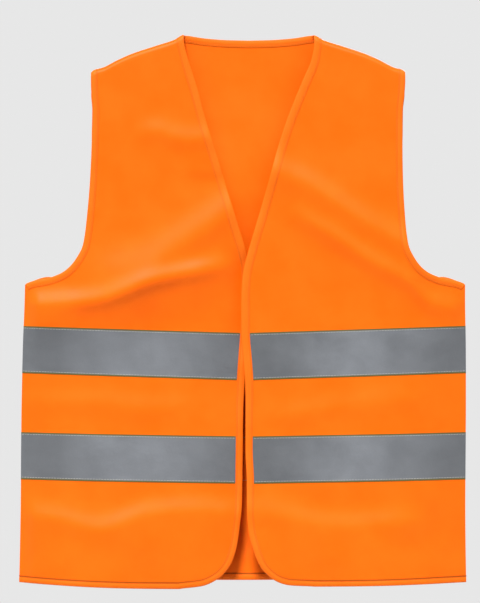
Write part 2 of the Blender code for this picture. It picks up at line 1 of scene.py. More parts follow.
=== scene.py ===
"""High visibility vest: the visible cloth, tape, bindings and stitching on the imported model.

The vest hangs upright and is seen from -Y. +X is the wearer's left, +Y the wearer's back,
and the origin is at the middle of the neck opening, level with the neck points. Lengths in
this script are in millimetres and become metres when a mesh is made.
"""

import math
from collections import namedtuple

import bmesh
import bpy
import numpy as np
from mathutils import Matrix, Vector


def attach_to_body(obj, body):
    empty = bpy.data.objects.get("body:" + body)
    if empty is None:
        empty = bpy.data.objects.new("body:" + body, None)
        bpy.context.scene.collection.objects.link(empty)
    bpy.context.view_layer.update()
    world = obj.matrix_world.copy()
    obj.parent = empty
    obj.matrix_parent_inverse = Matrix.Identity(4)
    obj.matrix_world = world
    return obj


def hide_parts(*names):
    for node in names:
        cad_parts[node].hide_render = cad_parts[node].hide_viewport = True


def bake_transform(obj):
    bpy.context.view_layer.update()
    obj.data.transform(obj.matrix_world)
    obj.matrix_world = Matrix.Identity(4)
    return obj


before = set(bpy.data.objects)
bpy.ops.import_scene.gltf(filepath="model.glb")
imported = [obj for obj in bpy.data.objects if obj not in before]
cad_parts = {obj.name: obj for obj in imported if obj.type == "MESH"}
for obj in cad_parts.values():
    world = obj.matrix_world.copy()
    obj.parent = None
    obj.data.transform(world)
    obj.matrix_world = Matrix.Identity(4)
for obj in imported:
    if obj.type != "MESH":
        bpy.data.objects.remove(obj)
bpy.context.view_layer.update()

MM = 0.001

# ---- sizes shared with the model

HEM_Z = -577.0
SIDE_HALF = 237.0
CHEST_HALF = 233.0
UNDERARM_Z = -262.0
NECK_LEAN = 6.5
LEAN_POWER = 1.6
TOP_DEPTH = 6.0
HEM_DEPTH = 20.0
SIDE_TAPER = 110.0
RIDGE_DROP = 5.5  # radius over which the cloth turns at the shoulder
FRONT_STEP = 2.8  # how far the lapping fronts stand apart from their middle, at x = 0
STEP_REACH = 60.0
FRONT_HEM_REACH = 170.0
BACK_HEM_RISE = 2.5
TAPE_WIDTH = 50.0
FRONT_BINDING = 8.5  # width of the front binding along the V
FRONT_BINDING_LOW = 7.2  # and below it
HEM_BINDING = 7.5
NECK_BINDING = 7.5
ARMHOLE_BINDING = 7.0
EDGE_INSET = 1.5  # cut edge of the cloth to the fold of its binding
UNDER_SHOULDER = -10.0  # height at which the front edges leave the rounded shoulder
FOLD_TOP_Z = -32.0
FOLD_HEM_X = 150.0
NECK_POINT = 69.0

# Outlines, read as (distance from the centre line, height) or, for the fronts, as (x, height)
RIDGE = (
    (62, 11.0), (66, 6.6), (69, 2.4), (79, -3.0), (98, -9.2), (123, -17.5), (140, -25.0),
    (153, -31.8), (160, -34.0), (168, -38.5),
)
OUTER = (
    (165.5, -38.0), (166.3, -47), (165.6, -60), (164.0, -78), (164.4, -118), (165.4, -150),
    (168.3, -192), (171.7, -219), (180, -236), (191, -247.5), (207.5, -254.8), (225, -258.2),
    (CHEST_HALF, UNDERARM_Z), (233.2, -277), (234.6, -330), (235.4, -410), (235.4, -480),
    (SIDE_HALF, -600),
)
BACK_NECK = (
    (66.5, 2.2), (64.5, 2.1), (58, 1.1), (50, -0.2), (40, -1.3), (22, -2.5), (0, -3.0),
)
RIGHT_EDGE = (
    (-64.5, 2.6), (-59.1, -19), (-48.0, -54), (-39.2, -87), (-29.4, -118.6), (-15.6, -164),
    (-2.9, -205.5), (3.6, -227), (6.6, -243), (7.4, -262), (7.0, -290), (6.0, -313), (4.0, -342),
    (2.2, -365), (0.6, -395), (0.1, -436), (-0.8, -494), (-2.9, -515), (-6.1, -537), (-11.4, -554),
    (-20.4, -567.3), (-30.5, -574.7), (-42.1, -579.4), (-66.0, -582.3),
)
LEFT_EDGE = (
    (77.5, 2.6), (72.6, -24), (64.0, -44.5), (56.0, -63.6), (46.9, -87), (36.6, -118.6),
    (27.6, -151.5), (19.8, -179), (12.2, -204.4), (4.6, -231), (1.3, -244.5), (-0.5, -256),
    (-1.6, -277), (-1.4, -312.5), (0.8, -342), (2.5, -364), (2.9, -386), (2.9, -436), (4.2, -468),
    (4.4, -502), (6.0, -521), (10.8, -540), (18.3, -558.3), (26.0, -567.5), (37.3, -575.2),
    (50.0, -578.6), (75.0, -579.8),
)
FRONT_EDGES = {"right": RIGHT_EDGE, "left": LEFT_EDGE}
HEM_DROP = {"right": 5.6, "left": 3.0}  # how far a front's hem runs below the side seam's end
SIGN = {"right": -1, "left": 1}  # side of the garment on which a front lies
TAPES = {"upper": (-305.5, -313.0), "lower": (-418.0, -422.0)}

# ---- sizes of the visible cloth

CLOTH = 0.6  # thickness of the knit
SEAM_HALF = 0.32  # cloth centre to the plane of the side seams
SEAM_HALF_BOUND = 1.0  # and where a binding ends at the side seam
SEAM_BOUND_REACH = 32.0  # how far from the seam's ends that starts, and over what length
SEAM_BOUND_EASE = 22.0
SEAM_CLEAR = 0.3  # end of a hem binding to the side seam

BINDING = 0.45  # thickness of one leg of the folded binding
BINDING_GAP = 0.05
BINDING_CROWN = 0.28  # how far a binding bulges between its fold and its stitching
BINDING_PINCH = 0.12  # how far the stitching draws it in
CROWN_VARIES = 0.45  # by what share the bulge varies along a binding
WIDTH_VARIES = 0.22  # and how much the width
BINDING_SEED = {"left": 51, "right": 61, "neck": 71, "hem": 81, "left_arm": 92, "right_arm": 90}
STITCH_IN = 1.5  # stitching to the inner edge of a binding
HEM_UV_START = 700.0  # where the back hem's lengthwise UV begins, as far on as the fronts' hems
TAPE = 0.3
TAPE_GAP = 0.03
TAPE_STITCH_IN = 2.3  # stitching to the edge of a tape
TAPE_CLEAR = 0.4  # front binding to the end of a tape
TAPE_SEAM_CLEAR = 0.1  # side seam to its other end
THREAD = 0.2  # radius of the sewing thread
STITCH = 3.0  # length of one stitch
STITCH_LIFTS = (-0.4, -0.1, 0.12, 0.16, 0.12, -0.1)  # height of the thread along it
OVERLOCK = 0.16  # radius of the thread round the seam allowances
OVERLOCK_OUT = 0.36  # its centre to the middle of the allowance
GRID = 2.5  # spacing of the cloth's mesh lines
OVER_TOP = np.radians(np.arange(0, 91, 10))  # turn of the cloth over the shoulder, in steps

LAPPED = "right"  # the front that turns in under the other one, and how far
LAP_DIP = 4.2
LAP_DIP_TOP = (-220.0, 26.0)  # heights where that starts and ends, each with the length it takes
LAP_DIP_LOW = (-350.0, 45.0)
LAP_DIP_X = (3.0, 15.0)  # its middle and reach

PATCH_WIDTH = 7.0
PATCH_LENGTH = 45.0
PATCH = 0.7
PATCH_TOP_Z = -258.0
PATCH_LIFT = 1.5  # middle of a patch over the centre of the cloth, past the binding
ALLOWANCE = 0.5  # thickness of a seam allowance
ALLOWANCE_SEED = {"side": 7, "shoulder": 9}
LABEL_WIDTH = 30.0
LABEL_LENGTH = 50.0
LABEL_CAUGHT = 4.5  # further width of the label, caught in the seam
LABEL = 0.35
LABEL_TOP_Z = -390.0
LABEL_START = 8.0
LABEL_CURL = 1.6

MID = NECK_LEAN  # x of the garment's centre line at the neck
SHOULDER_Z = -20.0  # height at which the shoulder line's own centre is read


# ---- curves and the cloth surface

def curve(points, key):
    """Smooth curve through points, to be read at their first (0) or second (1) number."""
    pts = np.array(sorted(points, key=lambda p: p[key]), float)
    at, level = pts[:, key], pts[:, 1 - key]
    step = np.diff(at)
    rise = np.diff(level) / step
    slope = np.concatenate(([rise[0]], np.zeros(len(at) - 2), [rise[-1]]))
    product = rise[:-1] * rise[1:]
    same = product > 0
    slope[1:-1][same] = 2 * product[same] / (rise[:-1] + rise[1:])[same]

    def read(value):
        value = np.clip(value, at[0], at[-1])
        i = np.clip(np.searchsorted(at, value, side="right") - 1, 0, len(step) - 1)
        t = (value - at[i]) / step[i]
        start = (2 * t ** 3 - 3 * t ** 2 + 1) * level[i] + (t ** 3 - 2 * t ** 2 + t) * step[i] * slope[i]
        end = (3 * t ** 2 - 2 * t ** 3) * level[i + 1] + (t ** 3 - t ** 2) * step[i] * slope[i + 1]
        return start + end
    return read


read_ridge = curve(RIDGE, 0)
outer = curve(OUTER, 1)
back_neck = curve(BACK_NECK, 0)
front_edge = {front: curve(points, 1) for front, points in FRONT_EDGES.items()}


def ease(t):
    """0 to 1 with a smooth start and end."""
    t = np.clip(t, 0.0, 1.0)
    return t * t * (3 - 2 * t)


def unit(vectors):
    return vectors / np.linalg.norm(vectors, axis=-1, keepdims=True)


def lean(z):
    """Sideways shift of the garment's centre line at height z."""
    return NECK_LEAN * np.maximum(0.0, 1 - np.minimum(z, 0.0) / HEM_Z) ** LEAN_POWER


def out(x, z):
    """Distance from the garment's centre line."""
    return np.abs(x - lean(z))


def ridge(x):
    """Height of the shoulder line above x, carried on as a rise over the neck opening."""
    u = out(x, SHOULDER_Z)
    first_u, first_z = RIDGE[0]
    return np.where(u < first_u, first_z + first_u - u, read_ridge(u))


def armhole_line(sign, heights):
    """Points (x, z) of the outline on one side."""
    return np.stack((lean(heights) + sign * outer(heights), heights), axis=1)


def side_half(z):
    """Half width at the side seam, kept at its chest value above the underarm."""
    return outer(np.minimum(z, UNDERARM_Z))


def front_hem(front, x):
    """Height of a front's hem."""
    share = np.clip((SIDE_HALF - np.abs(x)) / FRONT_HEM_REACH, 0, 1)
    return HEM_Z - HEM_DROP[front] * np.sin(share * np.pi / 2)


def back_hem(x):
    """Height of the back's hem, a little shorter at the middle."""
    return HEM_Z + BACK_HEM_RISE * np.cos(np.clip(np.abs(x) / SIDE_HALF, 0, 1) * np.pi / 2)


def seam_half(z):
    """Cloth centre to the plane of the side seams, more where bindings end at the seam."""
    at_hem = ease((HEM_Z + SEAM_BOUND_REACH - z) / SEAM_BOUND_EASE)
    bound = at_hem + ease((z - UNDERARM_Z + SEAM_BOUND_REACH) / SEAM_BOUND_EASE)
    return SEAM_HALF + (SEAM_HALF_BOUND - SEAM_HALF) * bound


def depth(x, z):
    """Distance of the smooth cloth's centre from the plane of the side seams."""
    full = TOP_DEPTH + (HEM_DEPTH - TOP_DEPTH) * np.minimum(z, 0.0) / HEM_Z
    share = np.clip((side_half(z) - out(x, z)) / SIDE_TAPER, 0, 1)
    below = np.clip((ridge(x) - z) / RIDGE_DROP, 0, 1)
    rounded = np.sqrt(1 - (1 - below) ** 2)
    seam = seam_half(z)
    return (seam + (full - seam) * np.sin(share * np.pi / 2)) * rounded


def step_out(front, x):
    """How far a front stands out near the middle, where the left one laps over the right."""
    near = np.maximum(0.0, 1 - (x / STEP_REACH) ** 2)
    return FRONT_STEP * SIGN[front] * near ** 2


def lap_dip(front, x, z):
    """How far the front that is lapped over turns in under the other one, above the tape."""
    if front != LAPPED:
        return 0.0
    (top, top_ease), (low, low_ease) = LAP_DIP_TOP, LAP_DIP_LOW
    middle, reach = LAP_DIP_X
    along = ease((top - z) / top_ease) * ease((z - low) / low_ease)
    return LAP_DIP * np.exp(-((x - middle) / reach) ** 2) * along


# ---- folds and waves of the cloth

# A fold of the hanging cloth. The crest is a line of (x, z); above it the cloth swells out over
# "above", and below it the share "sharp" of the height drops off over "below" and the rest over
# "tail". At its ends a fold fades over "fade", and "soft_to" is the x up to which, from the
# wearer's right, it has no sharp part.
Fold = namedtuple("Fold", "side height above below sharp tail fade crest soft_to",
                  defaults=(-2 * SIDE_HALF,))
FOLDS = (
    Fold("right", 7.6, 13.4, 9.2, 0.33, 36.0, 70.0,
         ((-300, -287), (-215, -285), (-188, -283.5), (-154, -279.5), (-128, -271.5), (-103, -262),
          (-72, -253.5), (-40, -248), (-20, -245)), soft_to=-205),
    Fold("right", 6.5, 24.0, 16.0, 0.3, 45.0, 60.0,
         ((-160, -256), (-128, -252), (-103, -246), (-72, -225), (-40, -204), (-20, -190),
          (5, -172))),
    Fold("right", 1.3, 30.0, 8.0, 1.0, 20.0, 30.0, ((-62, -141), (-40, -141), (-5, -138))),
    Fold("right", 2.8, 12.0, 10.0, 0.6, 30.0, 36.0,
         ((-108, -102), (-90, -101), (-72, -107), (-55, -109), (-40, -108), (-20, -117))),
    Fold("left", 5.4, 16.0, 14.0, 0.25, 40.0, 40.0,
         ((25, -138), (48, -148), (75, -161), (105, -182), (130, -198), (151, -210), (195, -234))),
    Fold("left", 3.5, 12.0, 12.0, 0.6, 40.0, 60.0,
         ((58, -190), (75, -199), (105, -217), (130, -234), (151, -246), (175, -258), (200, -283),
          (255, -292))),
    Fold("right", 6.0, 16.0, 12.0, 0.05, 95.0, 50.0,
         ((-235, -509), (-200, -512), (-150, -523), (-100, -507), (-50, -503), (0, -510))),
    Fold("left", 4.6, 16.0, 14.0, 0.05, 95.0, 60.0,
         ((0, -504), (50, -511), (100, -520), (150, -518), (180, -516))),
    Fold("right", 1.7, 12.0, 12.0, 0.5, 26.0, 50.0,
         ((-225, -388), (-150, -387), (-100, -394), (-60, -389))),
    Fold("left", 1.7, 12.0, 12.0, 0.6, 26.0, 50.0,
         ((35, -402), (70, -396), (100, -391), (150, -385), (180, -384))),
)
SOFT_REACH = 45.0  # x over which the sharp part comes in

# Where the back lies nearer to the fronts: height, reach in x and z, distance
BACK_SAGS = ((-168.0, 75.0, 98.0, 12.0), (-600.0, 110.0, 110.0, 25.0))

# Slack: height and size in x and z of the long soft folds and of the small waves, and its share
# at the shoulder and further down
SOFT_WAVES = (2.6, 62, 48)
SMALL_WAVES = (0.7, 26, 19)
WAVES_HIGH = 0.2
WAVES_LOW = 0.9
WAVE_SEED = {"right": 11, "left": 23, None: 37}
WAVE_SLANT = {"right": 0.35, "left": -0.35, None: 0.0}

# Distances from a side seam and from the shoulder over which the cloth comes to lie plain
FOLD_TO_SEAM = 16.0
WAVE_TO_SEAM = 45.0
PLAIN_SHOULDER = 2.0
SHOULDER_REACH = 40.0


def lattice_noise(seed, x, z, size_x, size_z):
    """Smooth noise between about -1 and 1, with blobs of about the given sizes."""
    side = 48
    lattice = np.random.default_rng(seed).uniform(-1, 1, (side, side))
    u = x / size_x + side / 2
    v = z / size_z + side * 0.75
    i = np.floor(u).astype(int)
    j = np.floor(v).astype(int)
    total = 0.0
    for a in range(-1, 3):
        for b in range(-1, 3):
            du = np.abs(u - (i + a))
            dv = np.abs(v - (j + b))
            total = total + lattice[(i + a) % side, (j + b) % side] * spline(du) * spline(dv)
    return total * 1.6


def line_noise(seed, run, size):
    """Smooth noise along a line."""
    return lattice_noise(seed, run, np.zeros_like(run), size, size)


def spline(t):
    """Cubic spline weight at distance t."""
    near = 2 / 3 - t ** 2 + t ** 3 / 2
    far = np.maximum(2 - t, 0) ** 3 / 6
    return np.where(t < 1, near, far)


def fold_relief(front, x, z):
    """How far the folds of a front stand out."""
    total = 0.0
    for fold in FOLDS:
        if fold.side != front:
            continue
        up = z - curve(fold.crest, 0)(x)
        first, last = fold.crest[0][0] - fold.fade / 2, fold.crest[-1][0] + fold.fade / 2
        ends = ease((x - first) / fold.fade) * ease((last - x) / fold.fade)
        swell = np.exp(-(up / fold.above) ** 2)
        sharp = fold.sharp * ease((x - fold.soft_to) / SOFT_REACH)
        drop = sharp * np.exp(-(up / fold.below) ** 2) + (1 - sharp) * np.exp(-(up / fold.tail) ** 2)
        total = total + fold.height * np.where(up > 0, swell, drop) * ends
    return total


def wave_relief(front, x, z):
    """Slack of the hanging cloth: long soft folds and small irregular waves."""
    seed = WAVE_SEED[front]
    shift = WAVE_SLANT[front] * z
    down = np.clip(z / HEM_Z, 0, 1)
    soft = SOFT_WAVES[0] * lattice_noise(seed, x + shift, z, *SOFT_WAVES[1:])
    small = SMALL_WAVES[0] * lattice_noise(seed + 1, x - shift, z, *SMALL_WAVES[1:])
    return (soft + small) * (WAVES_HIGH + WAVES_LOW * down ** 2)


def sag_relief(front, x, z):
    """The back hangs nearer to the fronts behind the V and at the middle of the hem."""
    if front is not None:
        return 0.0
    total = 0.0
    for middle_z, reach_x, reach_z, drop in BACK_SAGS:
        total = total + drop * np.exp(-(x / reach_x) ** 2 - ((z - middle_z) / reach_z) ** 2)
    return total


def relief(front, x, z):
    """How far the cloth stands out of its smooth surface; nothing at seams and shoulders."""
    from_seam = side_half(z) - out(x, z)
    from_top = ease((ridge(x) - z - RIDGE_DROP - PLAIN_SHOULDER) / SHOULDER_REACH)
    folds = fold_relief(front, x, z) * ease(from_seam / FOLD_TO_SEAM)
    waves = wave_relief(front, x, z) * ease(from_seam / WAVE_TO_SEAM)
    return (folds + waves - sag_relief(front, x, z)) * from_top


def surface(front, x, z):
    """Points on the centre of the cloth, of a front or, with front None, of the back."""
    x, z = np.broadcast_arrays(np.asarray(x, float), np.asarray(z, float))
    y = depth(x, z) + relief(front, x, z)
    if front is not None:
        y = -(y + step_out(front, x) - lap_dip(front, x, z))
    return np.stack((x, y, z), axis=-1)


def normal(front, x, z):
    """Outward unit normals of the cloth at those points."""
    x, z = np.broadcast_arrays(np.asarray(x, float), np.asarray(z, float))
    below = np.clip((ridge(x) - z) / RIDGE_DROP, 0, 1)
    turn = np.arccos(1 - below)
    small = 0.05

    def at(dx, turned, lower):
        arched = ridge(x + dx) - RIDGE_DROP * (1 - np.cos(np.maximum(turn + turned, 0)))
        return surface(front, x + dx, np.where(below < 1, arched, z - lower))

    across = at(small, 0, 0) - at(-small, 0, 0)
    down = at(0, 0.02, small) - at(0, -0.02, -small)
    n = unit(np.cross(across, down))
    return n if front is None else -n


def over(front, x, z, height):
    """Points at a height over the centre of the cloth, and the cloth's normals there."""
    n = normal(front, x, z)
    return surface(front, x, z) + n * height, n


def fold_line(front):
    """Ends (x, z) of the line at which a front folds open."""
    top = float(front_edge[front](FOLD_TOP_Z))
    return (top, FOLD_TOP_Z), (SIGN[front] * FOLD_HEM_X, HEM_Z)


# ---- mesh makers

def make_piece(name, points, faces, uvs, mat):
    """Mesh object from points in millimetres, with a UV map in metres along the cloth."""
    mesh = bpy.data.meshes.new(name)
    mesh.from_pydata((np.asarray(points) * MM).tolist(), [], faces)
    layer = mesh.uv_layers.new(name="cloth")
    corner = np.empty(len(mesh.loops), np.int32)
    mesh.loops.foreach_get("vertex_index", corner)
    layer.data.foreach_set("uv", (np.asarray(uvs)[corner] * MM).astype(np.float32).ravel())
    bm = bmesh.new()
    bm.from_mesh(mesh)
    bmesh.ops.recalc_face_normals(bm, faces=bm.faces)
    bm.to_mesh(mesh)
    bm.free()
    mesh.shade_smooth()
    mesh.set_sharp_from_angle(angle=math.radians(55))
    mesh.materials.append(mat)
    obj = bpy.data.objects.new(name, mesh)
    bpy.context.collection.objects.link(obj)
    return obj


def sheet_mesh(name, points, normals, uvs, thickness, mat):
    """Closed sheet round a grid (rows, columns) of centre points."""
    rows, cols = points.shape[:2]
    size = rows * cols
    both = [(points + normals * side * thickness / 2).reshape(-1, 3) for side in (1, -1)]
    index = np.arange(size).reshape(rows, cols)
    a, b, c, d = index[:-1, :-1], index[:-1, 1:], index[1:, 1:], index[1:, :-1]
    front = np.stack((a, b, c, d), axis=-1).reshape(-1, 4)
    back = front[:, ::-1] + size
    rim = np.concatenate((index[0, :], index[1:, -1], index[-1, -2::-1], index[-2:0:-1, 0]))
    after = np.roll(rim, -1)
    wall = np.stack((rim, rim + size, after + size, after), axis=-1)
    faces = np.concatenate((front, back, wall)).tolist()
    flat = uvs.reshape(-1, 2)
    return make_piece(name, np.concatenate(both), faces, np.concatenate((flat, flat)), mat)


def sweep(sections, uvs):
    """Points, faces and UVs of a closed tube through sections of equal point count."""
    count, k = sections.shape[:2]
    index = np.arange(count * k).reshape(count, k)
    after = np.roll(index, -1, axis=1)
    faces = np.stack((index[:-1], after[:-1], after[1:], index[1:]), axis=-1).reshape(-1, 4).tolist()
    faces += [index[0].tolist(), index[-1, ::-1].tolist()]
    return sections.reshape(-1, 3), faces, uvs.reshape(-1, 2)


def joined(parts):
    """One set of points, faces and UVs from several."""
    points, faces, uvs, first = [], [], [], 0
    for p, f, uv in parts:
        points.append(p)
        faces += [[i + first for i in face] for face in f]
        uvs.append(uv)
        first += len(p)
    return np.concatenate(points), faces, np.concatenate(uvs)


# ---- cloth panels

FINE_BELOW = -215.0  # height under which the armhole turns fast
CORNER_Z = -540.0  # and a front's corner
HEM_ROWS = 77.0  # height over the hem of the rows that crowd towards it
ROW = GRID * 1.4  # spacing of a panel's other rows
UNDERARM_ROWS = (224, 270)  # depth below the shoulder line of the finer rows at the underarm


def cut_line(points, towards):
    """x at height z of a cut edge, which is the outline's points moved in square to it."""
    points = np.asarray(points)
    ahead = np.gradient(points, axis=0)
    square = unit(np.stack((-ahead[:, 1], ahead[:, 0]), axis=1))
    square *= np.where(square[:, :1] * towards < 0, -1, 1)
    moved = points + square * EDGE_INSET
    lowest = np.minimum.accumulate(moved[:, 1])
    kept = moved[np.concatenate(([True], moved[1:, 1] < lowest[:-1] - 1e-4))][::-1]
    return lambda z: np.interp(z, kept[:, 1], kept[:, 0])


def side_limit(sign):
    """x of the cloth's edge on one side: inside the armhole binding, at the side seam."""
    heights = np.concatenate((np.arange(OUTER[0][1] + 0.5, FINE_BELOW, -4),
                              np.arange(FINE_BELOW, UNDERARM_Z, -0.3)))
    edge = cut_line(armhole_line(sign, heights), -sign)

    def limit(z):
        return np.where(z > UNDERARM_Z + EDGE_INSET / 2, edge(z), lean(z) + sign * side_half(z))
    return limit


def front_limit(front):
    """x of a front's cut edge, inside its binding."""
    points = FRONT_EDGES[front]
    heights = np.concatenate((np.arange(points[0][1], CORNER_Z, -2),
                              np.arange(CORNER_Z, points[-1][1], -0.3)))
    return cut_line(np.stack((front_edge[front](heights), heights), axis=1), SIGN[front])


def row_shares():
    """Rows of a panel's grid from the shoulder line, 0, to the hem, 1."""
    arch = RIDGE_DROP * (1 - np.cos(OVER_TOP))
    length = -HEM_Z
    first, last = UNDERARM_ROWS
    chest = np.arange(RIDGE_DROP + GRID, first, ROW)
    underarm = np.arange(first, last, 2.0)
    body = np.arange(last, length - HEM_ROWS, ROW)
    near_hem = HEM_ROWS * (1 - np.linspace(0, 1, 32)) ** 1.7
    return np.concatenate((arch, chest, underarm, body, length - near_hem)) / length


def meet(limit, share, bottom):
    """Where grid rows meet a limit given as x at height z."""
    x = limit(np.full_like(share, -250.0))
    for _ in range(60):
        x = (x + limit(ridge(x) + (bottom(x) - ridge(x)) * share)) / 2
    return x


def sheet_area(points):
    """Area of a grid of points in square metres."""
    across = points[:-1, 1:] - points[:-1, :-1]
    down = points[1:, :-1] - points[:-1, :-1]
    return float(np.linalg.norm(np.cross(across, down), axis=-1).sum()) * MM * MM


def panel(name, front, x, z, mat):
    """Cloth over a grid of places, with the flat area that it was cut to."""
    obj = sheet_mesh(name, *over(front, x, z, 0.0), np.stack((x, z), axis=-1), CLOTH, mat)
    flat = np.stack((x, np.zeros_like(x), z), axis=-1)
    return obj, sheet_area(flat)


def front_cloth(front, mat):
    share = row_shares()

    def bottom(x):
        return front_hem(front, x) + EDGE_INSET

    inner = meet(front_limit(front), share, bottom)
    side = meet(side_limit(SIGN[front]), share, bottom)
    columns = np.linspace(0, 1, round(SIDE_HALF / GRID) + 1)
    x = inner[:, None] + (side - inner)[:, None] * columns
    z = ridge(x) + (bottom(x) - ridge(x)) * share[:, None]
    return panel(f"{front}_front_cloth", front, x, z, mat)


def back_cloth(mat):
    share = row_shares()
    start = NECK_POINT + 2 * EDGE_INSET
    shoulder = (start, float(ridge(lean(SHOULDER_Z) + start)))
    corner = [(NECK_POINT + EDGE_INSET, 0.6), (NECK_POINT, 0.7)]
    neck = curve([shoulder] + corner + [(u, z - EDGE_INSET) for u, z in BACK_NECK], 0)
    curved = RIDGE[0][0]

    def top(x):
        u = out(x, SHOULDER_Z)
        return np.where(u >= start - 0.01, ridge(x), neck(u))

    def bottom(x):
        return back_hem(x) + EDGE_INSET

    low = meet(side_limit(-1), share, bottom)
    high = meet(side_limit(1), share, bottom)
    half = (high[0] - low[0]) / 2
    neck_part = np.concatenate((np.arange(0, curved, GRID), np.arange(curved, start, 1.0), [start]))
    shoulder = np.linspace(start, half, round((half - start) / GRID) + 1)[1:]
    inner = np.concatenate((neck_part, shoulder)) / half
    columns = np.concatenate((-inner[:0:-1], inner))
    x = ((low + high) / 2)[:, None] + ((high - low) / 2)[:, None] * columns
    z = top(x) + (bottom(x) - top(x)) * share[:, None]
    return panel("back_cloth", None, x, z, mat)


# ---- edge bindings and stitching

def distances(points):
    """Distance along a line at each of its points."""
    return np.concatenate(([0], np.cumsum(np.linalg.norm(np.diff(points, axis=0), axis=1))))


def read_line(points, run, at):
    """Places on a line whose points lie at the distances run."""
    return np.stack([np.interp(at, run, column) for column in points.T], axis=1)


def resample(points, step):
    """Points a step apart along a line."""
    run = distances(points)
    return read_line(points, run, np.linspace(0, run[-1], max(2, round(run[-1] / step) + 1)))


def shoulder_stations(front, x):
    """Stations of an edge down from the shoulder line at x, over the rounded top."""
    drop = RIDGE_DROP * (1 - np.cos(OVER_TOP))
    z = ridge(np.full_like(drop, x)) - drop
    away = 1 if abs(x - MID) < CHEST_HALF / 2 else -1
    side = math.copysign(away, away * (x - MID))
    return [(front, x, h, side, 0.0, 1) for h in z]


def edge_stations(front, points, turn):
    """Stations of an edge along points (x, z), the cloth on the side that turn gives."""
    ahead = unit(np.gradient(points, axis=0))
    into = np.stack((ahead[:, 1], -ahead[:, 0]), axis=1) * turn
    return [(front, *p, *i, 0) for p, i in zip(points, into)]


def sections(stations, across):
    """Points and normals at places (way in from the edge, height over the cloth's centre)."""
    where = [s[0] for s in stations]
    x, z, ix, iz, arched = (np.array([s[k] for s in stations], float) for k in range(1, 6))
    points = np.empty((len(stations), len(across[0]), 3))
    normals = np.empty_like(points)
    for front in set(where):
        at = np.array([w == front for w in where])
        for j in range(len(across[0])):
            way = across[at, j, 0]
            qx = x[at] + ix[at] * way
            level = ridge(qx) - (ridge(x[at]) - z[at])
            qz = np.where(arched[at] > 0, level, z[at] + iz[at] * way)
            points[at, j], normals[at, j] = over(front, qx, qz, across[at, j, 1:])
    return points, normals


def soften(stations, reach=2):
    """Evens out how the way in turns along an edge."""
    into = np.array([s[3:5] for s in stations])
    padded = np.pad(into, ((reach, reach), (0, 0)), mode="edge")
    window = np.hanning(2 * reach + 3)[1:-1]
    even = unit(np.stack([np.convolve(padded[:, k], window, "valid") for k in range(2)], axis=1))
    return [(s[0], s[1], s[2], *e, s[5]) for s, e in zip(stations, even)]


def binding(name, stations, width, seed, mat, start=0.0):
    """Folded binding along stations, and the stitch lines on its two faces.

    width is one number or one per station, and start is where its lengthwise UV begins. The
    binding is full between its fold and its stitching, and drawn in at the stitching.
    """
    stations = soften(stations)
    run = distances(np.array([s[1:3] for s in stations]))
    flat = CLOTH / 2 + BINDING_GAP + BINDING
    inner = CLOTH / 2 + 0.02
    full = 1 + CROWN_VARIES * line_noise(seed, run, 9.0)
    width = width + WIDTH_VARIES * line_noise(seed + 1, run, 25)
    fold = [(1 - math.cos(a), math.sin(a)) for a in np.radians((8, 30, 55, 90))]
    rows = []
    for w, crown in zip(width, full):
        bulge = BINDING_CROWN * max(crown, 0.2)
        leg = [(1.1 * u, (flat - 0.1) * v) for u, v in fold]
        leg += [(0.3 * w, flat + 0.6 * bulge), (0.5 * w, flat + bulge)]
        leg += [(w - STITCH_IN - 1.1, flat + 0.5 * bulge)]
        leg += [(w - STITCH_IN, flat - BINDING_PINCH), (w - 0.6, flat + 0.03), (w, flat - 0.08)]
        loop = leg[::-1] + [(u, -v) for u, v in leg]
        loop += [(w, -inner), (0.6, -inner), (0.6, inner), (w, inner)]
        rows.append(loop)
    across = np.array(rows)
    points, _ = sections(stations, across)
    from_inner = width[:, None] - across[:, :, 0]
    uvs = np.stack((np.broadcast_to(run[:, None] + start, across.shape[:2]), from_inner), axis=-1)
    obj = make_piece(name, *sweep(points, uvs), mat)
    faces = (1, -1)
    line = [np.stack((width - STITCH_IN, np.full_like(run, face * (flat - BINDING_PINCH))), axis=-1)
            for face in faces]
    seam, normals = sections(stations, np.stack(line, axis=1))
    return obj, [stitches(seam[:, k], normals[:, k] * face) for k, face in enumerate(faces)]


def thread(centres, line, normals, radius, sides, step):
    """Round thread about centres that go with the points, a step apart, of a line."""
    aside = np.cross(unit(np.gradient(line, axis=0)), normals)
    turns = np.arange(sides) * math.tau / sides
    rings = np.stack([centres + radius * (math.cos(a) * normals + math.sin(a) * aside)
                      for a in turns], axis=1)
    run = np.broadcast_to((np.arange(len(line)) * step)[:, None], rings.shape[:2])
    uvs = np.stack((run, np.zeros_like(run)), axis=-1)
    return sweep(rings, uvs)


def stitches(points, normals):
    """Sewing thread along a line: it lies on the cloth and dips into it at every stitch."""
    step = STITCH / len(STITCH_LIFTS)
    both = resample(np.concatenate((points, normals * 1e-6), axis=1), step)
    at, n = both[:, :3], unit(both[:, 3:])
    lift = np.resize(STITCH_LIFTS, len(at))[:, None]
    return thread(at + n * lift, at, n, THREAD, 6, step)


def front_stations(front):
    """From the neck point down the V, the front edge, round the corner and along the hem."""
    sign = SIGN[front]
    low = FRONT_EDGES[front][-1]
    heights = np.arange(UNDER_SHOULDER, low[1] + 3.5, -1.5)
    edge = np.stack((front_edge[front](heights), heights), axis=1)
    xs = np.linspace(edge[-1, 0], low[0], 14)[1:-1]
    corner = np.stack((xs, curve(FRONT_EDGES[front][-6:], 0)(xs)), axis=1)
    xs = np.linspace(low[0], sign * (SIDE_HALF - SEAM_CLEAR), 60)
    hem = np.stack((xs, front_hem(front, xs)), axis=1)
    points = resample(np.concatenate((edge, corner, hem)), GRID)
    return shoulder_stations(front, MID + sign * NECK_POINT) + edge_stations(front, points, -sign)


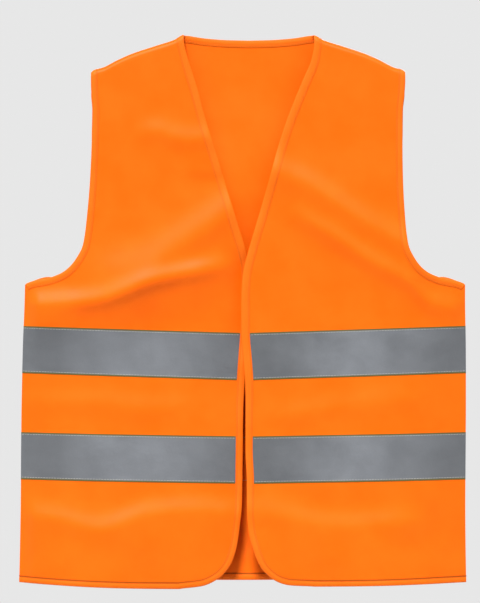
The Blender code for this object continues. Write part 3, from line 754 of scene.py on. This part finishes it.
def front_width(z):
    """Width of a front's binding at height z, below the neck."""
    return FRONT_BINDING_LOW + (FRONT_BINDING - FRONT_BINDING_LOW) * ease((z + 420) / 80)


def front_binding(front, mat):
    stations = front_stations(front)
    z = np.array([s[2] for s in stations])
    width = front_width(z) + (NECK_BINDING - FRONT_BINDING) * ease((z + 40) / 35)
    return binding(f"{front}_front_binding", stations, width, BINDING_SEED[front], mat)


# The binding turns from the shoulder line to the back of the neck: distance in from the neck
# point, height, and angle of the way in
NECK_FAN = ((0.6, 2.2, 30), (1.5, 2.25, 60))
NECK_CURVED = 66.0  # distance from the centre line within which it follows the neck's curve


def back_neck_binding(mat):
    """From one shoulder line, round the back of the neck, to the other."""
    ends = []
    for sign in (-1, 1):
        x = MID + sign * NECK_POINT
        fan = [(t, z, math.radians(a)) for t, z, a in NECK_FAN]
        turn = [(None, x - sign * t, z, sign * math.cos(a), -math.sin(a), 0) for t, z, a in fan]
        ends.append(shoulder_stations(None, x)[:2] + turn)
    us = np.linspace(-NECK_CURVED, NECK_CURVED, round(2 * NECK_CURVED / GRID) + 1)
    points = np.stack((MID + us, back_neck(np.abs(us))), axis=1)
    stations = ends[0] + edge_stations(None, points, 1) + ends[1][::-1]
    return binding("back_neck_binding", stations, NECK_BINDING, BINDING_SEED["neck"], mat)


def back_hem_binding(mat):
    xs = np.linspace(SIDE_HALF - SEAM_CLEAR, SEAM_CLEAR - SIDE_HALF, round(2 * SIDE_HALF / GRID))
    stations = edge_stations(None, np.stack((xs, back_hem(xs)), axis=1), 1)
    return binding("back_hem_edge", stations, HEM_BINDING, BINDING_SEED["hem"], mat, HEM_UV_START)


ARMHOLE_TURNS = -225.0  # height under which the armhole's outline turns fast
ARMHOLE_TOP = -47.0  # height at which it leaves the rounded shoulder
PEEK_HIGH = 0.9  # how far the back's armhole edge shows past the front's near the shoulder
PEEK_LOW = 1.8  # and at the underarm


def peek(x, z):
    """How far the back's armhole edge shows past the front's."""
    high = float(ease((-50 - z) / 14) * ease((z + 130) / 30))
    low = float(ease((out(x, z) - 204) / 6) * ease((CHEST_HALF - 6 - out(x, z)) / 14))
    return PEEK_HIGH * high + PEEK_LOW * low


def armhole_binding(front, mat):
    """From the underarm up the front, over the shoulder and down the back."""
    sign = SIGN[front]
    heights = np.concatenate((np.arange(UNDERARM_Z + 1, ARMHOLE_TURNS, 0.4),
                              np.arange(ARMHOLE_TURNS, ARMHOLE_TOP, 1.5), [ARMHOLE_TOP - 0.5]))
    points = resample(armhole_line(sign, heights), GRID)
    top = points[-1, 0]
    up = edge_stations(front, points, -sign) + shoulder_stations(front, top)[::-1]
    down = [(w, x - ix * peek(x, z), z - iz * peek(x, z), ix, iz, a)
            for w, x, z, ix, iz, a in edge_stations(None, points[::-1], sign)]
    stations = up + shoulder_stations(None, top)[1:] + down
    seed = BINDING_SEED[f"{front}_arm"]
    return binding(f"{front}_armhole_edge", stations, ARMHOLE_BINDING, seed, mat)


# ---- reflective tape

def tape_top(band, x):
    """Height of a tape's upper edge."""
    side, middle = TAPES[band]
    return side + (middle - side) * (1 - np.clip(np.abs(x) / SIDE_HALF, 0, 1))


def tape(name, front, band, low, high, mat):
    """Tape between two limits given as x at height z, and its two stitch lines."""
    inside = np.linspace(1.5, TAPE_WIDTH - 1.5, 20)
    down = np.concatenate(([0, 0.5], inside, [TAPE_WIDTH - 0.5, TAPE_WIDTH]))
    length = abs(float(high(-400.0) - low(-400.0)))
    share = np.linspace(0, 1, round(length / GRID) + 1)
    z = (tape_top(band, 0.0) - down)[:, None] + 0 * share
    for _ in range(8):
        x = low(z) + (high(z) - low(z)) * share
        z = tape_top(band, x) - down[:, None]
    uvs = np.stack((x, np.broadcast_to(-down[:, None], x.shape)), axis=-1)
    lift = CLOTH / 2 + TAPE_GAP + TAPE / 2
    obj = sheet_mesh(name, *over(front, x, z, lift), uvs, TAPE, mat)
    threads = []
    for from_top in (TAPE_STITCH_IN, TAPE_WIDTH - TAPE_STITCH_IN):
        zs = tape_top(band, x[0]) - from_top
        xs = low(zs) + (high(zs) - low(zs)) * (0.004 + 0.992 * share)
        for side, height in ((1, lift + TAPE / 2), (-1, -CLOTH / 2)):
            points, n = over(front, xs, zs, height)
            threads.append(stitches(points, n * side))
    return obj, threads


def tape_end(sign):
    """x of the end of a tape at a side seam."""
    return lambda z: lean(z) + sign * (side_half(z) - TAPE_SEAM_CLEAR)


def front_tape(front, band, mat):
    sign = SIGN[front]

    def edge(z):
        return front_edge[front](z) + sign * (front_width(z) + TAPE_CLEAR)

    return tape(f"{front}_{band}_tape", front, band, edge, tape_end(sign), mat)


def back_tape(band, mat):
    return tape(f"back_{band}_tape_strip", None, band, tape_end(-1), tape_end(1), mat)


# ---- seams, patches, label

def strip(name, points, thickness, mat):
    """Flat strip facing the front, over a grid of points."""
    facing = np.broadcast_to(np.array((0.0, -1.0, 0.0)), points.shape)
    return sheet_mesh(name, points, facing, points[..., ::2], thickness, mat)


def side_seam(front, mat):
    """Seam allowance inside a side seam."""
    sign = SIGN[front]
    z = np.arange(UNDERARM_Z - 12, HEM_Z + HEM_BINDING + 2, -2.0)
    inward = np.array((0.4, 2.0, 4.0, 6.0, 8.0))
    edge = lean(z) + sign * side_half(z)
    wave = 0.25 * line_noise(ALLOWANCE_SEED["side"], z, 7)
    x = edge[:, None] - sign * inward
    y = wave[:, None] * (inward / 8) ** 2
    z = np.broadcast_to(z[:, None], x.shape)
    points = np.stack((x, y, z), axis=-1)
    return strip(f"{front}_side_allowance", points, ALLOWANCE, mat), overlock(points)


def shoulder_seam(front, mat):
    """Seam allowance under a shoulder seam."""
    sign = SIGN[front]
    u = np.arange(NECK_POINT + 12, OUTER[0][0] - 12, 2.0)
    x = lean(SHOULDER_Z) + sign * u
    down = np.array((0.9, 3.0, 5.0, 7.0, 9.0))
    z = ridge(x)[:, None] - down
    x = np.broadcast_to(x[:, None], z.shape)
    y = 0.2 * lattice_noise(ALLOWANCE_SEED["shoulder"], x, z, 8, 8) * (down / 9) ** 2
    points = np.stack((x, y, z), axis=-1)
    return strip(f"{front}_shoulder_allowance", points, ALLOWANCE, mat), overlock(points)


def shoulder_stitching(front):
    """Stitching on the face of the cloth just under a shoulder line."""
    sign = SIGN[front]
    x = lean(SHOULDER_Z) + sign * np.arange(NECK_POINT + 9, OUTER[0][0] - 7, 1.0)
    z = ridge(x) - 1.6
    return stitches(*over(front, x, z, CLOTH / 2))


def overlock(points):
    """Zigzag thread over the cut edge of a seam allowance, on both faces."""
    edge, inside = points[:, -1], points[:, -3]
    count = 2 * len(edge)
    at = np.linspace(0, len(edge) - 1, count)
    tracks = [read_line(line, np.arange(len(edge)), at) for line in (inside, edge)]
    middle = np.where((np.arange(count) % 2)[:, None] == 0, *tracks)
    threads = []
    for side in (-1.0, 1.0):
        facing = np.array((0.0, side, 0.0))
        zigzag = middle + OVERLOCK_OUT * facing
        threads.append(thread(zigzag, zigzag, facing, OVERLOCK, 5, 1.0))
    return threads


def closure_patch(name, front, mat):
    """Touch-fastener patch on the binding: outside on the right front, inside on the left one."""
    z = np.linspace(PATCH_TOP_Z, PATCH_TOP_Z - PATCH_LENGTH, 24)[:, None]
    middle = (front_edge["right"](z) + front_edge["left"](z)) / 2
    x = middle + np.linspace(-PATCH_WIDTH / 2, PATCH_WIDTH / 2, 8)
    z = np.broadcast_to(z, x.shape)
    points, n = over(front, x, z, -SIGN[front] * PATCH_LIFT)
    return sheet_mesh(name, points, -SIGN[front] * n, np.stack((x, z), axis=-1), PATCH, mat)


def care_label(mat):
    """Blank label, caught in the wearer's left side seam, curling a little."""
    z = np.linspace(LABEL_TOP_Z, LABEL_TOP_Z - LABEL_LENGTH, 26)[:, None]
    inward = np.linspace(0, LABEL_WIDTH + LABEL_CAUGHT, 20)
    x = lean(z) + side_half(z) - LABEL_START - inward
    curl = LABEL_CURL * (inward / LABEL_WIDTH) ** 2 * np.sin((z - LABEL_TOP_Z) / LABEL_LENGTH * 2.6)
    points = np.stack((x, curl, np.broadcast_to(z, x.shape)), axis=-1)
    return strip("blank_care_label", points, LABEL, mat)


# ---- materials

def new_material(name, roughness, sheen=0.0, metallic=0.0, specular=0.5, tint=(1.0, 1.0, 1.0)):
    mat = bpy.data.materials.new(name)
    mat.use_nodes = True
    looks = {"Roughness": roughness, "Metallic": metallic, "Specular IOR Level": specular,
             "Sheen Weight": sheen, "Sheen Roughness": 0.45, "Sheen Tint": (*tint, 1)}
    for key, value in looks.items():
        shader(mat)[key].default_value = value
    return mat


def shader(mat):
    """Inputs of a material's shader."""
    return mat.node_tree.nodes["Principled BSDF"].inputs


def add(mat, kind, inputs=(), **settings):
    """Node with its settings and inputs; an input is a value or another node's output."""
    node = mat.node_tree.nodes.new("ShaderNode" + kind)
    for key, value in settings.items():
        setattr(node, key, value)
    for key, value in dict(inputs).items():
        if isinstance(value, bpy.types.NodeSocket):
            link(mat, value, node.inputs[key])
        else:
            node.inputs[key].default_value = value
    return node


def link(mat, output, socket):
    mat.node_tree.links.new(output, socket)


def maths(mat, operation, *values):
    return add(mat, "Math", enumerate(values), operation=operation).outputs[0]


def plus(mat, a, b):
    return maths(mat, "ADD", a, b)


def times(mat, a, b):
    return maths(mat, "MULTIPLY", a, b)


def sine(mat, value, period, phase=None):
    """Sine wave over a distance, with the given period in metres."""
    turn = times(mat, value, math.tau / period)
    return maths(mat, "SINE", turn if phase is None else plus(mat, turn, phase))


def cloth_uv(mat):
    """Distances along and across the cloth, in metres."""
    uv = add(mat, "UVMap", uv_map="cloth").outputs[0]
    parts = add(mat, "SeparateXYZ", {0: uv})
    return uv, parts.outputs[0], parts.outputs[1]


def noise(mat, vector, per_metre, detail=2.0, roughness=0.5):
    inputs = {"Vector": vector, "Scale": per_metre, "Detail": detail, "Roughness": roughness}
    return add(mat, "TexNoise", inputs, noise_dimensions="2D").outputs[0]


def cells(mat, vector, per_metre):
    inputs = {"Vector": vector, "Scale": per_metre}
    return add(mat, "TexVoronoi", inputs, voronoi_dimensions="2D").outputs[0]


def spread(mat, value, low, high, to_low=0.0, to_high=1.0):
    return add(mat, "MapRange", {0: value, 1: low, 2: high, 3: to_low, 4: to_high}).outputs[0]


def mix(mat, share, first, second, blend_type="MIX"):
    """Two colours mixed; a colour is (red, green, blue) or another node's output."""
    first, second = ((*c, 1) if isinstance(c, tuple) else c for c in (first, second))
    inputs = {0: share, 6: first, 7: second}
    return add(mat, "Mix", inputs, data_type="RGBA", blend_type=blend_type).outputs[2]


def coat(mat, colour, height=None, strength=0.0, distance=0.0, roughness=None):
    """Gives a material its colour, fine relief and roughness."""
    found = {"Base Color": colour, "Roughness": roughness}
    if height is not None:
        inputs = {"Strength": strength, "Distance": distance, "Height": height}
        found["Normal"] = add(mat, "Bump", inputs).outputs[0]
    for key, socket in found.items():
        if socket is not None:
            link(mat, socket, shader(mat)[key])
    return mat


def knit_material(name, dark, light, wale, course, roughness, specular, strength, painted_groove_shade=None):
    """Fine warp knit: rows of small loops with painted shade between them, uneven dye and soft mottling.

    The colour given as the last argument is painted shade: a dark line along the stitched inner
    edge of a binding, in its groove, stronger along the hems than along the neck and armholes.
    """
    mat = new_material(name, roughness, 0.06, specular=specular, tint=(1.0, 0.35, 0.04))
    uv, u, v = cloth_uv(mat)
    across = sine(mat, u, wale)
    along = sine(mat, v, course, times(mat, across, 0.35))
    loops = times(mat, maths(mat, "ABSOLUTE", across), plus(mat, along, 1.6))
    fuzz = noise(mat, uv, 2600.0, 2.0, 0.6)
    blotch = noise(mat, uv, 26.0, 3.0, 0.55)
    mottled = spread(mat, blotch, 0.3, 0.7, 0.0, 0.75)
    # The loop tops are a little lighter and the gaps between them darker: painted shade in the knit's
    # hollows.
    share = plus(mat, mottled, spread(mat, loops, 0.2, 2.0, 0.0, 0.25))
    colour = mix(mat, share, dark, light)
    # Painted shade: the binding's cloth darkens along its stitched inner edge, where the groove lies.
    if painted_groove_shade:
        on_hem = spread(mat, u, 0.56, 0.64, 0.22, 1.0)
        near = spread(mat, v, 0.0010, 0.0019, 1.0, 0.0)
        colour = mix(mat, times(mat, near, on_hem), colour, painted_groove_shade)
    uneven = spread(mat, blotch, 0.3, 0.7, roughness - 0.05, roughness + 0.05)
    return coat(mat, colour, plus(mat, loops, fuzz), strength, 0.0002, uneven)


def tape_material():
    """Retroreflective tape: satin grey film with tiny beads, faint creases, painted sheen bands and a
    dark olive line along its edges.
    """
    mat = new_material("reflective_tape", 0.5, metallic=0.35, specular=0.5)
    uv, u, v = cloth_uv(mat)
    cloud = noise(mat, uv, 30.0, 4.0, 0.6)
    speck = noise(mat, uv, 700.0, 2.0, 0.7)
    share = plus(mat, spread(mat, cloud, 0.3, 0.7, 0.0, 0.7), spread(mat, speck, 0.3, 0.7, 0.0, 0.3))
    face = mix(mat, share, (0.85, 0.85, 0.85), (1.0, 1.0, 1.0))
    # Painted sheen: broad lighter and darker bands along the tape, a wave with soft noise, stand in for
    # the reflection of its satin film.
    painted_sheen = plus(mat, spread(mat, noise(mat, uv, 9.0, 1.0), 0.3, 0.7, 0.0, 0.36),
                 spread(mat, sine(mat, u, 0.23, 4.3), -1.0, 1.0, 0.0, 0.64))
    tone = mix(mat, painted_sheen, (0.128, 0.135, 0.145), (0.220, 0.233, 0.254))
    face = mix(mat, 1.0, face, tone, "MULTIPLY")
    # A dark olive line along each edge of the tape.
    from_edge = maths(mat, "MINIMUM", times(mat, v, -1.0), plus(mat, v, TAPE_WIDTH * MM))
    colour = mix(mat, spread(mat, from_edge, 0.0010, 0.0017, 1.0, 0.0), face, (0.14, 0.115, 0.02))
    beads = cells(mat, uv, 2200.0)
    creases = noise(mat, uv, 120.0, 3.0, 0.6)
    height = plus(mat, times(mat, beads, 0.5), times(mat, creases, 2.0))
    return coat(mat, colour, height, 0.3, 0.0003, spread(mat, cloud, 0.25, 0.75, 0.42, 0.58))


def thread_material(name, colour, dark):
    """Twisted polyester thread."""
    mat = new_material(name, 0.5, specular=0.12)
    u = cloth_uv(mat)[1]
    return coat(mat, mix(mat, spread(mat, sine(mat, u, 0.0006), -1.0, 1.0), dark, colour))


def patch_material():
    """Touch fastener: a field of tiny hooks or loops."""
    mat = new_material("touch_fastener", 0.85, sheen=0.2, specular=0.3)
    uv = cloth_uv(mat)[0]
    field = cells(mat, uv, 900.0)
    colour = mix(mat, spread(mat, field, 0.1, 0.6), (0.9, 0.17, 0.01), (0.55, 0.08, 0.004))
    return coat(mat, colour, plus(mat, field, noise(mat, uv, 1500.0, 2.0)), 0.8, 0.0005)


def label_material():
    """White satin weave."""
    mat = new_material("white_satin", 0.45, sheen=0.15)
    uv, u, v = cloth_uv(mat)
    share = spread(mat, noise(mat, uv, 90.0), 0.3, 0.7)
    colour = mix(mat, share, (0.78, 0.78, 0.75), (0.86, 0.86, 0.84))
    return coat(mat, colour, times(mat, sine(mat, u, 0.0004), sine(mat, v, 0.0006)), 0.3, 0.0001)


# ---- floor, light, camera

FLOOR_Z = -950.0
FLOOR_RADIUS = 3.6  # in metres, fading out from the next distance on
FLOOR_FADE = 1.2
CAMERA_LENS = 200.0
SENSOR_WIDTH = 36.0
CAMERA_X = -2.9
CAMERA_Z = -279.8
VIEW_HEIGHT = 638.8  # width of the view in the plane of the side seams
PAPER = 0.80  # brightness of the backdrop
FILL = 0.26  # light from the surroundings before and behind the vest
SIDE_FILL = 0.80  # and from its two sides
PALE_BAND = 0.4  # sine of the height up and down to which the fill keeps its strength
KEY = 5.6  # strength, width, height and sideways turn of the main light, in degrees
KEY_WIDTH = 16.0
KEY_HEIGHT = 58.0
KEY_TURN = -14.0
BACK_PLACE = (0.5, 2.0, 0.4)  # place, aim, size and power of the lamp behind the vest
BACK_AIM = (0, 0, -0.3)
BACK_SIZE = 1.6
BACK_POWER = 34


def placed(name, data):
    """Object of a camera or light."""
    obj = bpy.data.objects.new(name, data)
    bpy.context.collection.objects.link(obj)
    return obj


def make_floor():
    """Round pale floor that fades out at its rim."""
    mat = new_material("pale_floor", 0.9, specular=0.1)
    place = add(mat, "TexCoord").outputs["Object"]
    coat(mat, mix(mat, noise(mat, place, 3.0), (0.43, 0.43, 0.43), (0.46, 0.46, 0.46)))
    away = add(mat, "VectorMath", {0: place}, operation="LENGTH").outputs["Value"]
    alpha = spread(mat, away, FLOOR_FADE, FLOOR_RADIUS, 1.0, 0.0)
    link(mat, alpha, shader(mat)["Alpha"])
    bpy.ops.mesh.primitive_circle_add(vertices=96, radius=FLOOR_RADIUS, fill_type="NGON",
                                      location=(0, 0, FLOOR_Z * MM))
    floor = bpy.context.object
    floor.name = "floor"
    floor.data.materials.append(mat)


def make_light():
    """Pale backdrop, soft light from all round, a sun before the vest and a lamp behind it."""
    world = bpy.data.worlds.new("studio")
    world.use_nodes = True
    place = add(world, "TexCoord").outputs["Generated"]
    parts = add(world, "SeparateXYZ", {0: place})
    sideways = spread(world, maths(world, "ABSOLUTE", parts.outputs[0]), 0.3, 0.9, FILL, SIDE_FILL)
    level = spread(world, maths(world, "ABSOLUTE", parts.outputs[2]), PALE_BAND, 1.0, 1.0, 0.3)
    seen = add(world, "LightPath").outputs["Is Camera Ray"]
    inputs = {0: seen, 2: times(world, sideways, level), 3: PAPER}
    shade = add(world, "Mix", inputs).outputs[0]
    link(world, shade, world.node_tree.nodes["Background"].inputs["Color"])
    bpy.context.scene.world = world
    sun = bpy.data.lights.new("key", "SUN")
    sun.energy, sun.angle = KEY, math.radians(KEY_WIDTH)
    key = placed("key", sun)
    key.rotation_euler = (math.radians(90 - KEY_HEIGHT), 0, math.radians(KEY_TURN))
    lamp = bpy.data.lights.new("back", "AREA")
    lamp.shape, lamp.size, lamp.energy = "DISK", BACK_SIZE, BACK_POWER
    back = placed("back", lamp)
    back.location = BACK_PLACE
    back.rotation_euler = (Vector(BACK_AIM) - Vector(BACK_PLACE)).to_track_quat("-Z", "Y").to_euler()
    back.visible_camera = False
    bpy.context.scene.view_settings.view_transform = "Standard"


def make_camera():
    """Level camera, far off, facing the front."""
    camera = bpy.data.cameras.new("camera")
    camera.lens = CAMERA_LENS
    camera.sensor_width = SENSOR_WIDTH
    obj = placed("camera", camera)
    distance = VIEW_HEIGHT * CAMERA_LENS / SENSOR_WIDTH
    obj.location = (CAMERA_X * MM, -distance * MM, CAMERA_Z * MM)
    obj.rotation_euler = (math.pi / 2, 0, 0)
    bpy.context.scene.camera = obj


# ---- assembly

def attach(obj, front, slot, *nodes):
    """A piece of the back rides the garment; a piece of a front keeps its place, its transform baked in.
    The parts it stands for are hidden.
    """
    if front is None:
        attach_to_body(obj, "garment")
    else:
        (x0, z0), (x1, z1) = fold_line(front)
        sign = SIGN[front]
        across = Vector((z1 - z0, 0, x0 - x1)).normalized()
        if across.x * sign > 0:
            across = -across
        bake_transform(obj)
    if nodes:
        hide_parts(*nodes)
    return obj


def sew(name, parts, front, mat, slot):
    return attach(make_piece(name, *joined(parts), mat), front, slot)


def make_back(knit, edge, grey, orange_thread, pale_thread):
    """The back with everything that is fixed to it, the armhole bindings and the seams."""
    back, back_area = back_cloth(knit)
    attach(back, None, "orange_knit", "back_panel")
    sewn, taped, back_trim = [], [], []

    def trimmed(obj, threads, slot, node, stitched):
        back_trim.append(attach(obj, None, slot, node))
        stitched.extend(threads)

    trimmed(*back_neck_binding(edge), "orange_binding", "neck_binding", sewn)
    trimmed(*back_hem_binding(edge), "orange_binding", "back_hem_binding", sewn)
    for band in TAPES:
        trimmed(*back_tape(band, grey), "grey_tape", f"back_{band}_tape", taped)
    for front in SIGN:
        trimmed(*armhole_binding(front, edge), "orange_binding", f"{front}_armhole_binding", sewn)
        for maker, node in ((side_seam, "side_seam"), (shoulder_seam, "shoulder_seam")):
            obj, threads = maker(front, knit)
            attach(obj, None, "orange_knit", f"{front}_{node}")
            sewn += threads
        sewn.append(shoulder_stitching(front))
    attach(care_label(label_material()), None, "label_white", "care_label")
    back_trim.append(sew("back_stitching", sewn, None, orange_thread, "orange_binding"))
    back_trim.append(sew("back_tape_stitching", taped, None, pale_thread, "grey_tape"))


def make_front(front, knit, edge, grey, orange_thread, pale_thread, fastener):
    """A front with its binding, tapes and closure patch."""
    cloth, area = front_cloth(front, knit)
    attach(cloth, front, "orange_knit", f"{front}_front_side", f"{front}_front_flap")
    obj, threads = front_binding(front, edge)
    attach(obj, front, "orange_binding", f"{front}_front_edge_binding", f"{front}_front_hem_binding")
    trim = [obj, sew(f"{front}_front_stitching", threads, front, orange_thread, "orange_binding")]
    taped = []
    for band in TAPES:
        obj, threads = front_tape(front, band, grey)
        node = f"{front}_{band}_tape"
        trim.append(attach(obj, front, "grey_tape", f"{node}_side", f"{node}_flap"))
        taped += threads
    trim.append(sew(f"{front}_tape_stitching", taped, front, pale_thread, "grey_tape"))
    name = "hook" if front == "left" else "loop"
    patch = closure_patch(f"{name}_patch_face", front, fastener)
    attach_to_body(patch, f"{front}_flap")
    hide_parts(f"{name}_patch")


def main():
    knit = knit_material("orange_knit_cloth", (0.87, 0.123, 0.0003), (0.90, 0.139, 0.0008),
                         wale=0.0011, course=0.0009, roughness=0.46, specular=0.15, strength=0.16)
    # The binding gets a line of painted shade along its stitched inner edge.
    edge = knit_material("orange_binding_cloth", (0.83, 0.138, 0.003), (0.87, 0.152, 0.006),
                         wale=0.0007, course=0.0007, roughness=0.5, specular=0.13, strength=0.18,
                         painted_groove_shade=(0.36, 0.06, 0.001))
    shared = (knit, edge, tape_material(),
              thread_material("orange_thread", (0.88, 0.15, 0.004), (0.6, 0.08, 0.002)),
              thread_material("pale_thread", (0.62, 0.62, 0.55), (0.4, 0.4, 0.34)))
    fastener = patch_material()
    make_back(*shared)
    for front in SIGN:
        make_front(front, *shared, fastener)
    make_floor()
    make_light()
    make_camera()


main()
